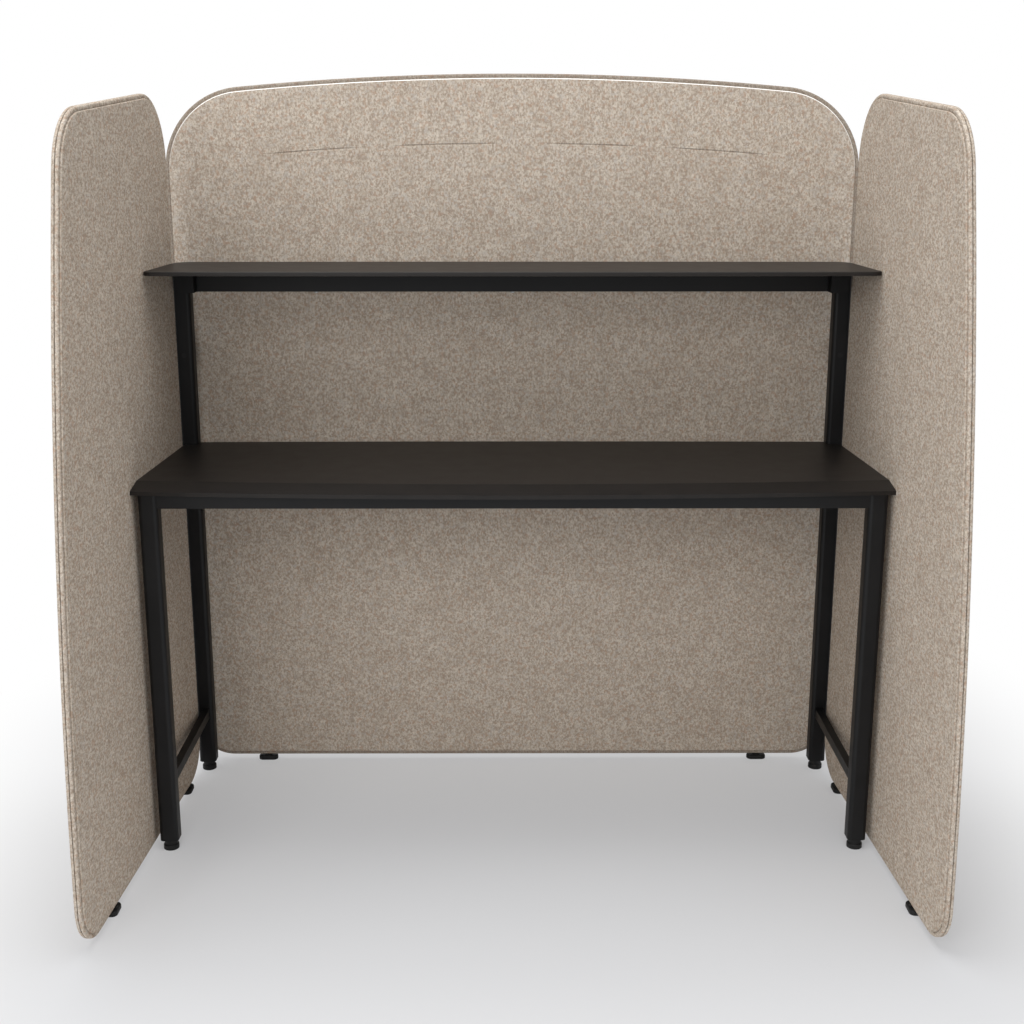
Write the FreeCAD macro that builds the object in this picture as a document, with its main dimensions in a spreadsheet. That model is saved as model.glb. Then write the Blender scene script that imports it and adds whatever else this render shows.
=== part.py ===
import FreeCAD, Part
import os
import Sketcher

# Office booth: a black steel desk with a raised shelf, inside three felt screens.
# Millimetres. +X is the viewer's right, +Y points away from the viewer, +Z is up.
# The origin is the middle of the booth on the floor.

doc = FreeCAD.newDocument("OfficeBooth")

# Driving dimensions
DIMENSIONS = [
    # felt screens
    ("inner_pad_height", 2.4, "inner face pad, above the rim"),
    ("outer_pad_height", 2.4, "outer face pad, above the rim"),
    ("rim_half", 6.2, "half of the thickness at the rim"),
    ("pad_inset", 8.5, "how far the raised face pad sits in from the rim"),
    ("inner_pad_radius", 1.8, "rounding of the inner face pad's edge"),
    ("outer_pad_radius", 1.8, "rounding of the outer face pad's edge"),
    ("rim_radius", 3.6, "rounding of the rim's outer edge"),
    ("seam_radius", 1.0, "rounding of each half where they meet at the seam"),
    ("core_inset", 14.0, "how far the core board sits in from the rim"),
    ("core_outer", 5.8, "from the seam to the core board's outer face"),
    ("core_inner", 5.8, "from the seam to the core board's inner face"),
    ("screen_bottom", 12.0, "height of the screens' lower edge"),
    ("back_top_radius", 166.0, "upper corners of the back screen"),
    ("side_top_radius", 123.0, "upper corners of the side screens"),
    ("bottom_corner_radius", 80.0, "lower corners of the screens"),
    # back screen
    ("back_half_width", 706.0, "half of the back screen's width"),
    ("back_mid_y", 413.8, "middle plane of the back screen"),
    ("back_peak", 1482.7, "height of the back screen in the middle"),
    ("crown_radius", 6000.0, "radius of the back screen's crowned top edge"),
    # side screens
    ("side_offset", 5.15, "seam of a side screen at Y = 0, out from the back screen's side edge"),
    ("splay_degrees", 3.0453, "each side screen opens outwards by this"),
    ("splay_ratio", 0.0532, "the same splay as a slope"),
    ("side_front", -424.0, "front lower corner of a side screen, before rounding"),
    ("side_rear", 338.8, "rear edge of a side screen"),
    ("front_bow_radius", 5600.0, "bow of a side screen's front edge"),
    ("front_lean", 0.1342, "run of the front edge back for each unit up"),
    ("side_rear_top", 1448.6, "height of the top line at the rear edge"),
    ("top_slope", 0.087, "rise of the top edge for each unit back"),
    # desk frame
    ("leg_offset", 36.65, "legs, in from a side screen's seam"),
    ("leg_front_y", -9.7, "front legs"),
    ("leg_rear_y", 362.3, "rear uprights"),
    ("leg_size", 36.0, "square leg tube"),
    ("leg_corner", 8.0, "rounded edges of the leg tube"),
    ("tube_wall", 2.0, "wall of every tube"),
    ("leg_bottom", 22.0, "lower end of the leg tubes"),
    ("rail_height", 27.0, "rails under the worktop"),
    ("rail_depth", 30.0, "front and rear rails"),
    ("side_rail_width", 20.0, "side rails under the worktop"),
    ("low_rail_bottom", 127.0, "lower side rails"),
    ("low_rail_height", 20.0, "lower side rails"),
    ("low_rail_width", 15.0, "lower side rails"),
    ("low_rail_shift", 2.5, "lower side rails, in from the legs' middle"),
    ("shelf_rail_height", 50.0, "rail under the shelf"),
    ("shelf_rail_depth", 30.0, "rail under the shelf"),
    ("block_width", 37.0, "corner blocks under the shelf"),
    ("block_depth", 29.7, "corner blocks under the shelf"),
    ("block_offset", 32.5, "inner side of the corner blocks, in from the legs' middle"),
    ("block_radius", 12.0, "rounded lower corner of the blocks"),
    # boards
    ("worktop_top", 739.0, "height of the worktop"),
    ("worktop_thick", 18.0, "worktop board"),
    ("worktop_front", -65.0, "front edge in the middle"),
    ("worktop_rear", 372.3, "rear edge in the middle"),
    ("worktop_front_bow", 33.0, "bow of the front edge"),
    ("worktop_rear_bow", 6.5, "bow of the rear edge"),
    ("worktop_edge", 7.5, "upright part of the worktop's front edge"),
    ("worktop_bevel", 45.0, "width of the worktop's falling front"),
    ("worktop_rear_radius", 40.0, "rear corners"),
    ("shelf_top", 1114.0, "height of the shelf"),
    ("shelf_thick", 9.0, "shelf board"),
    ("shelf_front", 116.5, "front edge in the middle"),
    ("shelf_rear", 365.3, "rear edge in the middle"),
    ("shelf_front_bow", 4.5, "bow of the front edge"),
    ("shelf_rear_bow", 6.0, "bow of the rear edge"),
    ("shelf_edge", 7.5, "upright part of the shelf's edge"),
    ("shelf_bevel", 12.0, "width of the bevel under the shelf's edge"),
    ("shelf_front_radius", 16.0, "front corners"),
    ("shelf_edge_radius", 2.0, "rounded upper edge of the shelf"),
    ("shelf_rear_radius", 35.0, "rear corners"),
    ("board_gap", 0.6, "gap between a board's side and a side screen"),
    ("notch_gap", 0.6, "gap round an upright where the worktop is notched"),
    # levelling feet
    ("glide_radius", 15.0, "desk glide"),
    ("glide_height", 11.0, "desk glide, lower disc"),
    ("glide_neck_radius", 12.5, "desk glide, neck up to the leg"),
    ("foot_length", 42.0, "screen foot, along its screen"),
    ("foot_width", 22.0, "screen foot, across its screen"),
    ("foot_corner", 10.0, "screen foot, rounded corners"),
    ("foot_height", 9.0, "screen foot, lower part"),
    ("foot_neck_radius", 8.5, "screen foot, neck up to the screen"),
    ("glide_stud_radius", 4.0, "thread of a desk glide"),
    ("foot_stud_radius", 3.0, "thread of a screen foot"),
    ("stud_gap", 0.3, "running gap round a thread"),
    ("glide_stud_top", 60.0, "top of a desk glide's thread"),
    ("foot_stud_top", 58.0, "top of a screen foot's thread"),
    ("plug_height", 26.0, "threaded plug in a leg's lower end"),
    ("back_foot_inset", 155.0, "feet of the back screen, in from its side edges"),
    ("side_foot_front", -253.1, "front feet of the side screens"),
    ("side_foot_rear", 244.9, "rear feet of the side screens"),
    ("insert_length", 40.0, "steel insert in a core board"),
    ("insert_height", 45.0, "steel insert in a core board"),
    ("insert_wall", 1.5, "least wall round the thread in an insert"),
    # brackets and screws
    ("bracket_width", 30.0, "brackets between a side rail and a side screen"),
    ("low_bracket_back", 50.0, "lower side brackets, back from the front legs"),
    ("low_bracket_height", 16.0, "lower side brackets, on the lower side rails"),
    ("high_bracket_height", 20.0, "upper side brackets, on the top side rails"),
    ("back_bracket_width", 16.0, "brackets between an upright and the back screen"),
    ("bracket_height", 50.0, "brackets between an upright and the back screen"),
    ("back_bracket_low", 590.0, "lower back brackets"),
    ("back_bracket_high", 900.0, "upper back brackets"),
    ("screw_radius", 2.0, "shank of every screw"),
    ("screw_gap", 0.3, "gap round a screw's shank"),
    ("screw_head_radius", 4.0, "screw heads"),
    ("screw_head_height", 3.0, "screw heads"),
    ("access_radius", 5.5, "hole that lets the driver into a tube"),
    ("rail_screw_inset", 254.5, "screws through the front and rear rails, in from the legs"),
    ("shelf_screw_inset", 274.5, "screws through the shelf rail, in from the legs"),
]

sheet = doc.addObject("Spreadsheet::Sheet", "Params")
VALUES = {}
for row, (alias, value, note) in enumerate(DIMENSIONS, start=1):
    sheet.set("A%d" % row, alias)
    sheet.set("B%d" % row, "%g" % value)
    sheet.set("C%d" % row, note)
    sheet.setAlias("B%d" % row, alias)
    VALUES[alias] = value
doc.recompute()


class Dim:
    """A length kept both as a sheet expression and as its present value."""

    def __init__(self, text, value):
        self.text = text
        self.value = value

    def __add__(self, other):
        other = as_dim(other)
        return Dim("(%s + %s)" % (self.text, other.text), self.value + other.value)

    def __radd__(self, other):
        return as_dim(other) + self

    def __sub__(self, other):
        other = as_dim(other)
        return Dim("(%s - %s)" % (self.text, other.text), self.value - other.value)

    def __rsub__(self, other):
        return as_dim(other) - self

    def __mul__(self, other):
        other = as_dim(other)
        return Dim("(%s * %s)" % (self.text, other.text), self.value * other.value)

    def __rmul__(self, other):
        return as_dim(other) * self

    def __truediv__(self, other):
        other = as_dim(other)
        return Dim("(%s / %s)" % (self.text, other.text), self.value / other.value)

    def __neg__(self):
        return Dim("(0 - %s)" % self.text, -self.value)

    def root(self):
        return Dim("sqrt(%s)" % self.text, self.value ** 0.5)


def as_dim(value):
    if isinstance(value, Dim):
        return value
    return Dim("(%r)" % float(value), float(value))


DERIVED = {}


def p(alias):
    if alias in DERIVED:
        return DERIVED[alias]
    return Dim("Params." + alias, VALUES[alias])


# Depths of the screens, and places across the booth that follow from the back screen's width
DERIVED["screen_inner"] = p("rim_half") + p("inner_pad_height")
DERIVED["screen_outer"] = p("rim_half") + p("outer_pad_height")
DERIVED["side_mid_x"] = p("back_half_width") + p("side_offset")
DERIVED["leg_x"] = p("side_mid_x") - p("leg_offset")
DERIVED["back_foot_x"] = p("back_half_width") - p("back_foot_inset")
DERIVED["block_inner_x"] = p("leg_x") - p("block_offset")
DERIVED["rail_screw_x"] = p("leg_x") - p("rail_screw_inset")
DERIVED["shelf_screw_x"] = p("leg_x") - p("shelf_screw_inset")


def bind(obj, prop, value):
    obj.setExpression(prop, as_dim(value).text)


# Solid primitives and joins
counter = [0]
nodes = {}


def fresh(name):
    counter[0] += 1
    return "%s_%d" % (name, counter[0])


def box(name, x0, x1, y0, y1, z0, z1):
    item = doc.addObject("Part::Box", fresh(name))
    bind(item, "Length", as_dim(x1) - x0)
    bind(item, "Width", as_dim(y1) - y0)
    bind(item, "Height", as_dim(z1) - z0)
    bind(item, "Placement.Base.x", x0)
    bind(item, "Placement.Base.y", y0)
    bind(item, "Placement.Base.z", z0)
    return item


TURNS = {
    "+z": FreeCAD.Rotation(0, 0, 0, 1),
    "+x": FreeCAD.Rotation(FreeCAD.Vector(0, 1, 0), 90),
    "-x": FreeCAD.Rotation(FreeCAD.Vector(0, 1, 0), -90),
    "+y": FreeCAD.Rotation(FreeCAD.Vector(1, 0, 0), -90),
}


def rod(name, direction, radius, x, y, z, length):
    item = doc.addObject("Part::Cylinder", fresh(name))
    item.Placement = FreeCAD.Placement(FreeCAD.Vector(0, 0, 0), TURNS[direction])
    bind(item, "Radius", radius)
    bind(item, "Height", length)
    bind(item, "Placement.Base.x", x)
    bind(item, "Placement.Base.y", y)
    bind(item, "Placement.Base.z", z)
    return item


def fuse(name, items):
    if len(items) == 1:
        return items[0]
    item = doc.addObject("Part::MultiFuse", fresh(name))
    item.Shapes = items
    return item


def cut(name, base, tools):
    item = doc.addObject("Part::Cut", fresh(name))
    item.Base = base
    item.Tool = fuse(name + "_tool", tools)
    return item


def group(name, items):
    item = doc.addObject("Part::Compound", fresh(name))
    item.Links = items
    return item


def node(name, item):
    item.Label = name
    nodes[name] = item
    return item


# Sketches and bodies
def new_body(name):
    return doc.addObject("PartDesign::Body", fresh(name))


def new_sketch(body, role, offset=None):
    sketch = body.newObject("Sketcher::SketchObject", fresh("Sketch"))
    for feature in body.Origin.OriginFeatures:
        if feature.Role == role:
            sketch.AttachmentSupport = [(feature, "")]
    sketch.MapMode = "FlatFace"
    if offset is not None:
        bind(sketch, "AttachmentOffset.Base.z", offset)
    return sketch


def fix_point(sketch, geo, pos, x, y, tag):
    for kind, value, letter in (("DistanceX", x, "x"), ("DistanceY", y, "y")):
        value = as_dim(value)
        if value.value >= 0:
            rule = Sketcher.Constraint(kind, -1, 1, geo, pos, value.value)
        else:
            value = -value
            rule = Sketcher.Constraint(kind, geo, pos, -1, 1, value.value)
        index = sketch.addConstraint(rule)
        sketch.renameConstraint(index, tag + letter)
        sketch.setExpression("Constraints." + tag + letter, value.text)


def vec(point):
    return FreeCAD.Vector(as_dim(point[0]).value, as_dim(point[1]).value, 0)


def outline(sketch, corners, arcs=None):
    """Closed outline through the corners; arcs maps a side's number to (radius, bulge)."""
    arcs = arcs or {}
    ends = []
    count = len(corners)
    for i in range(count):
        a = vec(corners[i])
        b = vec(corners[(i + 1) % count])
        if i in arcs:
            radius, side = arcs[i]
            middle = (a + b) * 0.5
            chord = b - a
            half = chord.Length / 2
            rise = radius.value - (radius.value ** 2 - half ** 2) ** 0.5
            normal = FreeCAD.Vector(chord.y, -chord.x, 0).normalize() * side
            shape = Part.Arc(a, middle + normal * rise, b)
        else:
            shape = Part.LineSegment(a, b)
        geo = sketch.addGeometry(shape, False)
        forward = sketch.getPoint(geo, 1).distanceToPoint(a) < 1e-6
        ends.append((geo, 1, 2) if forward else (geo, 2, 1))
    for i in range(count):
        geo, start, end = ends[i]
        next_geo, next_start, _ = ends[(i + 1) % count]
        sketch.addConstraint(Sketcher.Constraint("Coincident", geo, end, next_geo, next_start))
    for i in range(count):
        geo, start, end = ends[i]
        fix_point(sketch, geo, start, corners[i][0], corners[i][1], "corner%d" % i)
        if i in arcs:
            index = sketch.addConstraint(Sketcher.Constraint("Radius", geo, arcs[i][0].value))
            sketch.renameConstraint(index, "bow%d" % i)
            sketch.setExpression("Constraints.bow%d" % i, arcs[i][0].text)


def pad(body, sketch, length, backwards=False):
    item = body.newObject("PartDesign::Pad", fresh("Pad"))
    item.Profile = sketch
    bind(item, "Length", length)
    item.Reversed = backwards
    doc.recompute()
    return item


def edges(feature, test):
    return ["Edge%d" % (i + 1) for i, e in enumerate(feature.Shape.Edges) if test(e)]


def fillet(body, base, names, radius):
    item = body.newObject("PartDesign::Fillet", fresh("Fillet"))
    item.Base = (base, names)
    bind(item, "Radius", radius)
    doc.recompute()
    return item


def spans(edge, axis, low, high):
    """True for a straight edge that runs along one axis from low to high."""
    ends = sorted(getattr(v.Point, axis) for v in edge.Vertexes)
    return len(ends) == 2 and abs(ends[0] - low) < 0.01 and abs(ends[1] - high) < 0.01


def lies_at(edge, axis, level):
    box_ = edge.BoundBox
    low = getattr(box_, axis.upper() + "Min")
    high = getattr(box_, axis.upper() + "Max")
    return abs(low - level) < 0.01 and abs(high - level) < 0.01


def soften(name, blank, rules):
    """Round the blank's edges; rules lists (test, radius) pairs."""
    doc.recompute()
    soft = doc.addObject("Part::Fillet", fresh(name))
    soft.Base = blank
    chosen = []
    for number, edge in enumerate(blank.Shape.Edges, start=1):
        for test, radius in rules:
            if test(edge):
                chosen.append((number, radius, radius))
                break
    soft.Edges = chosen
    return soft


def bar(name, x, y, half, corner, low, high):
    """Upright square bar with rounded edges."""
    low = as_dim(low)
    high = as_dim(high)
    blank = box(name, x - half, x + half, y - half, y + half, low, high)
    return soften(name, blank, [(lambda e: spans(e, "z", low.value, high.value), as_dim(corner).value)])


# Outlines of the screens, each drawn in its own plane
def back_outline(inset):
    half = p("back_half_width") - inset
    low = p("screen_bottom") + inset
    radius = p("crown_radius") - inset
    top = p("back_peak") - p("crown_radius") + (radius * radius - half * half).root()
    corners = [(-half, low), (half, low), (half, top), (-half, top)]
    return corners, {2: (radius, 1)}, p("back_top_radius") - inset


def side_outline(inset):
    low = p("screen_bottom") + inset
    rear = p("side_rear") - inset
    lean = p("front_lean")
    slope = p("top_slope")
    start = p("side_front") + (1 + lean * lean).root() * inset
    drop = p("side_rear_top") - (1 + slope * slope).root() * inset
    front_low = start + lean * (low - p("screen_bottom"))
    rear_top = drop + slope * (rear - p("side_rear"))
    front_top_y = (start + lean * (drop - slope * p("side_rear") - p("screen_bottom"))) / (1 - lean * slope)
    front_top_z = drop + slope * (front_top_y - p("side_rear"))
    corners = [(front_low, low), (rear, low), (rear, rear_top), (front_top_y, front_top_z)]
    return corners, {3: (p("front_bow_radius"), 1)}, p("side_top_radius") - inset


def slab(body, role, axis, shape, inset, start, length, side):
    """Plate with the screen's rounded outline, from start along the sketch's normal."""
    corners, arcs, top_radius = shape(inset)
    sketch = new_sketch(body, role, start * side if start is not None else None)
    outline(sketch, corners, arcs)
    feature = pad(body, sketch, length, side < 0)
    low_level = 0.0 if start is None else start.value
    sign = side if role != "XZ_Plane" else -side
    levels = sorted((sign * low_level, sign * (low_level + as_dim(length).value)))
    tall = [e for e in edges(feature, lambda e: spans(e, axis, *levels))]
    middle = VALUES["back_peak"] / 2
    upper = [n for n in tall if feature.Shape.getElement(n).CenterOfMass.z > middle]
    feature = fillet(body, feature, upper, top_radius)
    lower = edges(feature, lambda e: spans(e, axis, *levels) and e.CenterOfMass.z < middle)
    return fillet(body, feature, lower, p("bottom_corner_radius") - inset)


def place_side(body, hand):
    turn = FreeCAD.Rotation(FreeCAD.Vector(0, 0, 1), hand)
    body.Placement = FreeCAD.Placement(FreeCAD.Vector(0, 0, 0), turn)
    bind(body, "Placement.Base.x", p("side_mid_x") * hand)
    body.setExpression("Placement.Rotation.Angle", "Params.splay_degrees * %d deg" % hand)


def place_back(body):
    bind(body, "Placement.Base.y", p("back_mid_y"))


def screen_core(name, role, axis, shape, side, place):
    body = new_body(name)
    corners, arcs, top_radius = shape(p("core_inset"))
    sketch = new_sketch(body, role, -p("core_outer") * side)
    outline(sketch, corners, arcs)
    feature = pad(body, sketch, p("core_outer") + p("core_inner"), side < 0)
    sign = side if role != "XZ_Plane" else -side
    levels = sorted((-sign * VALUES["core_outer"], sign * VALUES["core_inner"]))
    middle = VALUES["back_peak"] / 2
    upper = edges(feature, lambda e: spans(e, axis, *levels) and e.CenterOfMass.z > middle)
    feature = fillet(body, feature, upper, top_radius)
    lower = edges(feature, lambda e: spans(e, axis, *levels) and e.CenterOfMass.z < middle)
    fillet(body, feature, lower, p("bottom_corner_radius") - p("core_inset"))
    place(body)
    return body


def slope_edges(body, base, names, run, drop, level):
    """Bevel of a level face's edges: run is measured in the face and drop up or down the board's side."""
    item = body.newObject("PartDesign::Chamfer", fresh("Chamfer"))
    item.Base = (base, names)
    item.ChamferType = "Two distances"
    bind(item, "Size", drop)
    bind(item, "Size2", run)
    doc.recompute()
    left = [f for f in item.Shape.Faces if lies_at(f, "z", level)]
    whole = [f for f in base.Shape.Faces if lies_at(f, "z", level)]
    shrunk = whole[0].BoundBox.YLength - left[0].BoundBox.YLength if left else 0.0
    if shrunk < (run.value + drop.value) / 2:
        item.FlipDirection = True
        doc.recompute()
    return item


def screen_cover(name, role, axis, shape, side, place, reach, which):
    """Half of a screen's felt: a rim plate up to the seam, and the raised pad on its face."""
    rim = new_body(name + "_rim")
    sign = side if role != "XZ_Plane" else -side
    feature = slab(rim, role, axis, shape, as_dim(0), None, p("rim_half"), side)
    outer = edges(feature, lambda e: lies_at(e, axis, sign * VALUES["rim_half"]))
    feature = fillet(rim, feature, outer, p("rim_radius"))
    seam = edges(feature, lambda e: lies_at(e, axis, 0.0))
    fillet(rim, feature, seam, p("seam_radius"))
    place(rim)
    face = new_body(name + "_face")
    depth = reach - p("rim_half")
    feature = slab(face, role, axis, shape, p("pad_inset"), p("rim_half"), depth, side)
    front = edges(feature, lambda e: lies_at(e, axis, sign * reach.value))
    fillet(face, feature, front, p(which + "_pad_radius"))
    place(face)
    return fuse(name, [rim, face])


# Screens: a core board between two felt covers that meet at a seam round the edge
SCREENS = {
    "back": ("XZ_Plane", "y", back_outline, place_back, 1),
    "left": ("YZ_Plane", "x", side_outline, lambda b: place_side(b, -1), 1),
    "right": ("YZ_Plane", "x", side_outline, lambda b: place_side(b, 1), -1),
}
whole_core = {}
whole_cover = {}
for screen, (role, axis, shape, place, inner_side) in SCREENS.items():
    whole_core[screen] = screen_core(screen + "_core_blank", role, axis, shape, inner_side, place)
    for which, side in (("inner", inner_side), ("outer", -inner_side)):
        name = "%s_screen_%s_felt_blank" % (screen, which)
        whole_cover[screen, which] = screen_cover(name, role, axis, shape, side, place,
                                                  p("screen_" + which), which)
doc.recompute()

# Where the screens' feet stand
side_slope = p("splay_ratio")
FEET = {
    "back_left": ("back", -p("back_foot_x"), p("back_mid_y")),
    "back_right": ("back", p("back_foot_x"), p("back_mid_y")),
}
for hand, side in (("left", -1), ("right", 1)):
    for end in ("front", "rear"):
        y = p("side_foot_" + end)
        x = (p("side_mid_x") - side_slope * y) * side
        FEET["%s_%s" % (hand, end)] = (hand, x, y)

insert_base = p("screen_bottom") + p("core_inset") + 6
inserts = []
foot_tools = {"back": [], "left": [], "right": []}
insert_tools = {"back": [], "left": [], "right": []}
hole_radius = p("foot_stud_radius") + p("stud_gap")
for foot, (screen, x, y) in FEET.items():
    half = p("insert_length") / 2
    deep = p("foot_stud_radius") + p("insert_wall")
    if screen == "back":
        block = box("insert", x - half, x + half, y - deep, y + deep, insert_base,
                    insert_base + p("insert_height"))
    else:
        block = box("insert", x - deep, x + deep, y - half, y + half, insert_base,
                    insert_base + p("insert_height"))
    bore = rod("bore", "+z", hole_radius, x, y, 0, p("foot_stud_top") + 14)
    inserts.append(cut("insert", block, [bore]))
    insert_tools[screen].append(block)
    foot_tools[screen].append(bore)
node("screen_foot_inserts", group("screen_foot_inserts", inserts))

# Desk frame: square legs with rounded edges, coped rails
wall = p("tube_wall")
leg_half = p("leg_size") / 2
under_top = p("worktop_top") - p("worktop_thick")
under_shelf = p("shelf_top") - p("shelf_thick")
rail_low = under_top - p("rail_height")
LEGS = {}
for hand, side in (("left", -1), ("right", 1)):
    LEGS["front_leg_" + hand] = (p("leg_x") * side, p("leg_front_y"), under_top, side)
    LEGS["rear_upright_" + hand] = (p("leg_x") * side, p("leg_rear_y"), under_shelf, side)

shank = p("screw_radius") + p("screw_gap")
BRACKETS = []
side_rail_half = p("side_rail_width") / 2
half_low = p("low_rail_width") / 2
for hand, side in (("left", -1), ("right", 1)):
    across = "+x" if side > 0 else "-x"
    x = p("leg_x") * side
    middle_y = (p("leg_front_y") + p("leg_rear_y")) / 2
    low_x = (p("leg_x") - p("low_rail_shift")) * side
    low_y = p("leg_front_y") + p("low_bracket_back")
    low_level = p("low_rail_bottom") + (p("low_rail_height") - p("low_bracket_height")) / 2
    BRACKETS.append((hand, "lower_side_rail_" + hand, across, low_x, low_y, low_level,
                     p("low_bracket_height"), half_low, side))
    BRACKETS.append((hand, "top_side_rail_" + hand, across, x, middle_y, rail_low + wall * 2,
                     p("high_bracket_height"), side_rail_half, side))
    for level in ("back_bracket_low", "back_bracket_high"):
        BRACKETS.append(("back", "rear_upright_" + hand, "+y", x, p("leg_rear_y"), p(level),
                         p("bracket_height"), leg_half, side))

carrier_tools = {name: [] for name in LEGS}
for hand in ("left", "right"):
    carrier_tools["top_side_rail_" + hand] = []
    carrier_tools["lower_side_rail_" + hand] = []
cover_tools = {"back": [], "left": [], "right": []}
core_tools = {"back": [], "left": [], "right": []}
bracket_screws = []
bracket_holes = []
access_caps = []
for screen, carrier, direction, x, y, level, tall, half, side in BRACKETS:
    middle = level + tall / 2
    if direction == "+y":
        reach = p("back_mid_y") - y
    else:
        reach = p("side_mid_x") - side_slope * y - x * side
    head_at = half - wall - p("screw_head_height") - 0.7
    start = half + 1
    if direction == "+y":
        hole = rod("hole", "+y", shank, x, y, middle, reach + 3)
        access = rod("access", "+y", p("access_radius"), x, y - start, middle, start)
        cap = rod("cap", "+y", p("access_radius"), x, y - half, middle, wall)
        head = rod("head", "+y", p("screw_head_radius"), x, y + head_at, middle, p("screw_head_height"))
        body = rod("shank", "+y", p("screw_radius"), x, y + head_at, middle, reach + 1 - head_at)
    else:
        hole = rod("hole", direction, shank, x, y, middle, reach + 3)
        access = rod("access", direction, p("access_radius"), x - start * side, y, middle, start)
        cap = rod("cap", direction, p("access_radius"), x - half * side, y, middle, wall)
        head = rod("head", direction, p("screw_head_radius"), x + head_at * side, y, middle,
                   p("screw_head_height"))
        body = rod("shank", direction, p("screw_radius"), x + head_at * side, y, middle,
                   reach + 1 - head_at)
    carrier_tools[carrier] += [hole, access]
    cover_tools[screen].append(hole)
    core_tools[screen].append(hole)
    bracket_screws.append(fuse("bracket_screw", [head, body]))
    bracket_holes.append(hole)
    access_caps.append(cap)
node("bracket_screws", group("bracket_screws", bracket_screws))
node("access_caps", group("access_caps", access_caps))

for name, (x, y, top, side) in LEGS.items():
    tube = bar("tube", x, y, leg_half, p("leg_corner"), p("leg_bottom"), top)
    bore = bar("tube_bore", x, y, leg_half - wall, p("leg_corner") - wall, p("leg_bottom") - 1, top + 1)
    node(name, cut(name, tube, [bore] + carrier_tools[name]))


def leg_blank(name):
    x, y, top, side = LEGS[name]
    return bar("leg_blank", x, y, leg_half, p("leg_corner"), p("leg_bottom"), top)


def hollow(name, sizes, along, copes, holes):
    """Rectangular tube, open at both ends, its ends coped to the legs."""
    x0, x1, y0, y1, z0, z1 = sizes
    blank = box(name, *sizes)
    if along == "x":
        room = box(name, as_dim(x0) - 1, as_dim(x1) + 1, y0 + wall, y1 - wall, z0 + wall, z1 - wall)
    else:
        room = box(name, x0 + wall, x1 - wall, as_dim(y0) - 1, as_dim(y1) + 1, z0 + wall, z1 - wall)
    return node(name, cut(name, blank, [room] + [leg_blank(c) for c in copes] + holes))


# Screws that hold the boards down to the rails
worktop_screws = []
worktop_holes = []
rail_holes = {"front_rail": [], "rear_rail": [], "shelf_rail": [], "blocks": []}
shelf_screws = []
shelf_holes = []
worktop_bite = p("worktop_thick") - 4
shelf_bite = p("shelf_thick") - 3


def rising_screw(x, y, low, high):
    head = rod("head", "+z", p("screw_head_radius"), x, y, low - p("screw_head_height"),
               p("screw_head_height"))
    body = rod("shank", "+z", p("screw_radius"), x, y, low - p("screw_head_height"),
               high - low + p("screw_head_height"))
    hole = rod("hole", "+z", shank, x, y, low - 1, high - low + 2)
    return fuse("screw", [head, body]), hole


for rail, y in (("front_rail", p("leg_front_y")), ("rear_rail", p("leg_rear_y"))):
    for x in (-p("rail_screw_x"), as_dim(0), p("rail_screw_x")):
        screw, hole = rising_screw(x, y, rail_low, under_top + worktop_bite)
        worktop_screws.append(screw)
        worktop_holes.append(hole)
        rail_holes[rail].append(hole)
shelf_rail_low = under_shelf - p("shelf_rail_height")
for x in (-p("shelf_screw_x"), as_dim(0), p("shelf_screw_x")):
    screw, hole = rising_screw(x, p("leg_rear_y") - 8, shelf_rail_low, under_shelf + shelf_bite)
    shelf_screws.append(screw)
    shelf_holes.append(hole)
    rail_holes["shelf_rail"].append(hole)

half_rail = p("rail_depth") / 2
hollow("front_rail", (-p("leg_x"), p("leg_x"), p("leg_front_y") - half_rail, p("leg_front_y") + half_rail,
                      rail_low, under_top), "x", ["front_leg_left", "front_leg_right"],
       rail_holes["front_rail"])
hollow("rear_rail", (-p("leg_x"), p("leg_x"), p("leg_rear_y") - half_rail, p("leg_rear_y") + half_rail,
                     rail_low, under_top), "x", ["rear_upright_left", "rear_upright_right"],
       rail_holes["rear_rail"])
half_shelf_rail = p("shelf_rail_depth") / 2
hollow("shelf_rail", (-p("leg_x"), p("leg_x"), p("leg_rear_y") - half_shelf_rail,
                      p("leg_rear_y") + half_shelf_rail, shelf_rail_low, under_shelf), "x",
       ["rear_upright_left", "rear_upright_right"], rail_holes["shelf_rail"])
for hand, side in (("left", -1), ("right", 1)):
    x = p("leg_x") * side
    low_x = (p("leg_x") - p("low_rail_shift")) * side
    ends = ["front_leg_" + hand, "rear_upright_" + hand]
    hollow("top_side_rail_" + hand, (x - side_rail_half, x + side_rail_half, p("leg_front_y"),
                                     p("leg_rear_y"), rail_low, under_top),
           "y", ends, carrier_tools["top_side_rail_" + hand])
    hollow("lower_side_rail_" + hand, (low_x - half_low, low_x + half_low, p("leg_front_y"), p("leg_rear_y"),
                                       p("low_rail_bottom"), p("low_rail_bottom") + p("low_rail_height")),
           "y", ends, carrier_tools["lower_side_rail_" + hand])

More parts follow.
